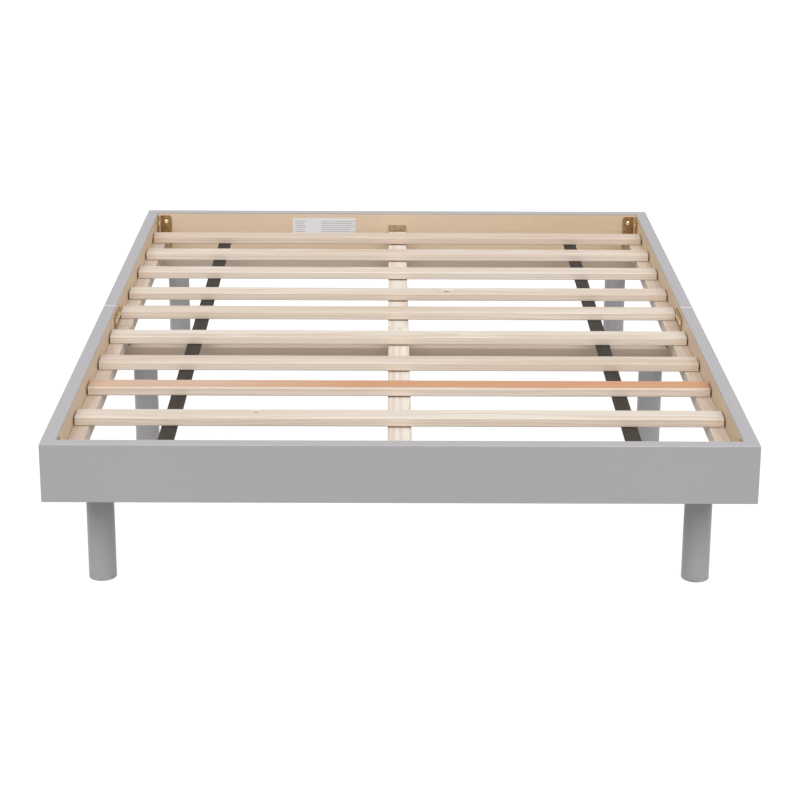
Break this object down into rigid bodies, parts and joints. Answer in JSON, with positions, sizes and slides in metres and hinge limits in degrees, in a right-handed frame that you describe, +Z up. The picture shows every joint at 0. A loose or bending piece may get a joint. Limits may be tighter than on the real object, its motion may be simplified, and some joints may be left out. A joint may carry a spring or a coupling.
{
  "type": "platform bed frame",
  "caption": "Low wooden platform bed frame with painted rails, round screw-in legs and a lift-out strapped roll of pine slats on ledger strips.",
  "frame": {"origin": "on the floor under the middle of the bed", "axes": "+X across the bed, +Y from the foot to the head, +Z up"},
  "size_m": [1.44, 1.98, 0.346],
  "materials": {
    "rail_paint": "grey satin paint outside and on top, bare wood inside",
    "leg_paint": "grey satin paint on turned wood",
    "slat_pine": "planed, bare",
    "ledger_pine": "planed, bare",
    "beam_pine": "planed, bare",
    "webbing": "woven, dark brown",
    "zinc_plate": "yellow zinc plated",
    "zinc_bolt": "yellow zinc plated",
    "plain_steel": "zinc plated",
    "label_paper": "blank white paper label"
  },
  "bodies": {
    "frame": {"beam_angles": "zinc_plate", "centre_hanger_foot": "zinc_plate", "centre_hanger_head": "zinc_plate", "centre_rail_foot": "ledger_pine", "centre_rail_head": "ledger_pine", "corner_bolts": "zinc_bolt", "corner_bracket_left_foot": "zinc_plate", "corner_bracket_left_head": "zinc_plate", "corner_bracket_right_foot": "zinc_plate", "corner_bracket_right_head": "zinc_plate", "cross_beam_foot": "beam_pine", "cross_beam_head": "beam_pine", "cross_beam_middle": "beam_pine", "foot_rail": "rail_paint", "head_rail": "rail_paint", "ledger_left_foot": "ledger_pine", "ledger_left_head": "ledger_pine", "ledger_right_foot": "ledger_pine", "ledger_right_head": "ledger_pine", "leg_bolts": "zinc_bolt", "leg_foot_left": "leg_paint", "leg_foot_right": "leg_paint", "leg_head_left": "leg_paint", "leg_head_right": "leg_paint", "leg_inserts": "zinc_bolt", "leg_middle_left": "leg_paint", "leg_middle_right": "leg_paint", "paper_label": "label_paper", "side_rail_left_foot": "rail_paint", "side_rail_left_head": "rail_paint", "side_rail_right_foot": "rail_paint", "side_rail_right_head": "rail_paint", "small_screws": "plain_steel", "splice_bolts": "zinc_bolt", "splice_plate_left": "zinc_plate", "splice_plate_right": "zinc_plate"},
    "slat_roll": {"slat_01": "slat_pine", "slat_02": "slat_pine", "slat_03": "slat_pine", "slat_04": "slat_pine", "slat_05": "slat_pine", "slat_06": "slat_pine", "slat_07": "slat_pine", "slat_08": "slat_pine", "slat_09": "slat_pine", "slat_10": "slat_pine", "strap_left": "webbing", "strap_right": "webbing", "strap_staples": "plain_steel"}
  },
  "joints": [
    {"name": "slat_roll_lift", "type": "slide", "parent": "frame", "child": "slat_roll", "axis": [0, 0, 1], "range_m": [0, 0.3]}
  ]
}
